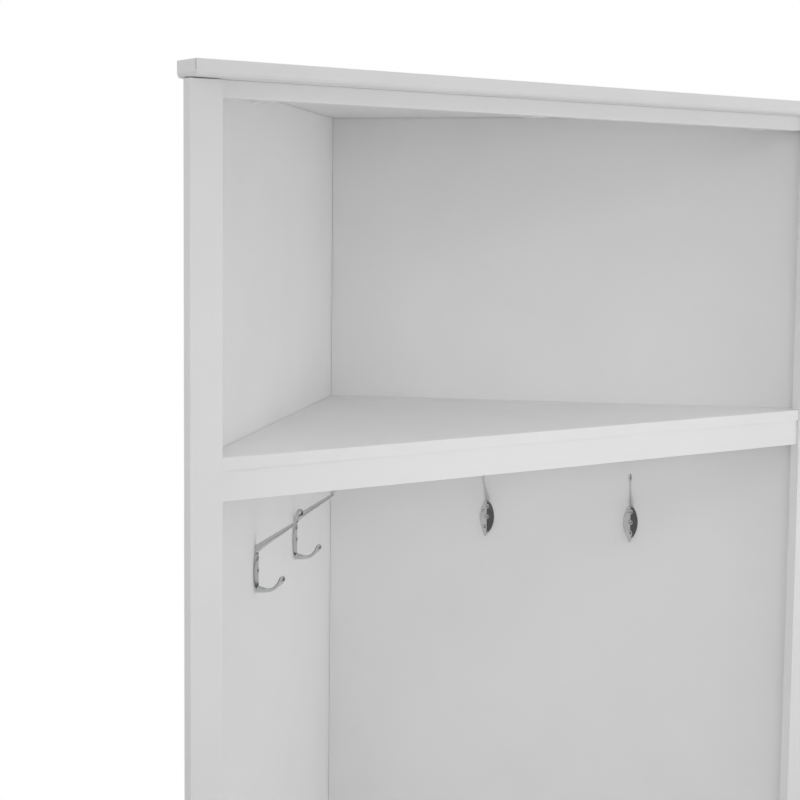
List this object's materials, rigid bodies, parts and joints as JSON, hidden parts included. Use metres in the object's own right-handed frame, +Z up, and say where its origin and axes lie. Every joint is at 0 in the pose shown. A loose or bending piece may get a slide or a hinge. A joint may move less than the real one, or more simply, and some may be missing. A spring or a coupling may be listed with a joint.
{
  "type": "corner coat unit with hooks",
  "caption": "Open corner coat unit with a 45 degree front, overhanging top, shelf with apron and double-prong coat hooks under the shelf.",
  "frame": {"origin": "centre of the bounding box's footprint, on the floor", "axes": "+Z up; the open 45 degree front faces -Y; +X to the right of someone who faces the front; the room's corner is at +Y"},
  "size_m": [1.04, 0.5646, 1.8463],
  "materials": {
    "white_board": "satin white foil on particle board",
    "hook_metal": "polished die casting",
    "screw_steel": "bright zinc plated",
    "zinc_fitting": "dull die-cast zinc",
    "dowel_wood": "raw beech",
    "block_plastic": "white moulded plastic",
    "bracket_steel": "zinc plated sheet"
  },
  "bodies": {
    "root": {"apron_dowel_left": "dowel_wood", "apron_dowel_right": "dowel_wood", "bottom_board": "white_board", "cam_bolt_bottom_left": "zinc_fitting", "cam_bolt_bottom_right": "zinc_fitting", "cam_bolt_shelf_left": "zinc_fitting", "cam_bolt_shelf_right": "zinc_fitting", "cam_bolt_top_left": "zinc_fitting", "cam_bolt_top_right": "zinc_fitting", "cam_lock_bottom_left": "zinc_fitting", "cam_lock_bottom_right": "zinc_fitting", "cam_lock_shelf_left": "zinc_fitting", "cam_lock_shelf_right": "zinc_fitting", "cam_lock_top_left": "zinc_fitting", "cam_lock_top_right": "zinc_fitting", "coat_hook_left_front": "hook_metal", "coat_hook_left_rear": "hook_metal", "coat_hook_right_front": "hook_metal", "coat_hook_right_rear": "hook_metal", "corner_screw_lower": "screw_steel", "corner_screw_middle": "screw_steel", "corner_screw_upper": "screw_steel", "dowel_bottom_left": "dowel_wood", "dowel_bottom_right": "dowel_wood", "dowel_shelf_left": "dowel_wood", "dowel_shelf_right": "dowel_wood", "dowel_top_left": "dowel_wood", "dowel_top_right": "dowel_wood", "hook_screw_left_front_lower": "screw_steel", "hook_screw_left_front_upper": "screw_steel", "hook_screw_left_rear_lower": "screw_steel", "hook_screw_left_rear_upper": "screw_steel", "hook_screw_right_front_lower": "screw_steel", "hook_screw_right_front_upper": "screw_steel", "hook_screw_right_rear_lower": "screw_steel", "hook_screw_right_rear_upper": "screw_steel", "left_side_panel": "white_board", "left_stile": "white_board", "plinth_dowel_left": "dowel_wood", "plinth_dowel_right": "dowel_wood", "plinth_rail": "white_board", "rail_block_left": "block_plastic", "rail_block_left_screw_side": "screw_steel", "rail_block_left_screw_up": "screw_steel", "rail_block_middle": "block_plastic", "rail_block_middle_screw_side": "screw_steel", "rail_block_middle_screw_up": "screw_steel", "rail_block_right": "block_plastic", "rail_block_right_screw_side": "screw_steel", "rail_block_right_screw_up": "screw_steel", "right_side_panel": "white_board", "right_stile": "white_board", "shelf_apron": "white_board", "shelf_board": "white_board", "top_board": "white_board", "top_rail": "white_board", "wall_bracket_left": "bracket_steel", "wall_bracket_right": "bracket_steel", "wall_bracket_screw_left": "screw_steel", "wall_bracket_screw_right": "screw_steel"}
  },
  "joints": []
}
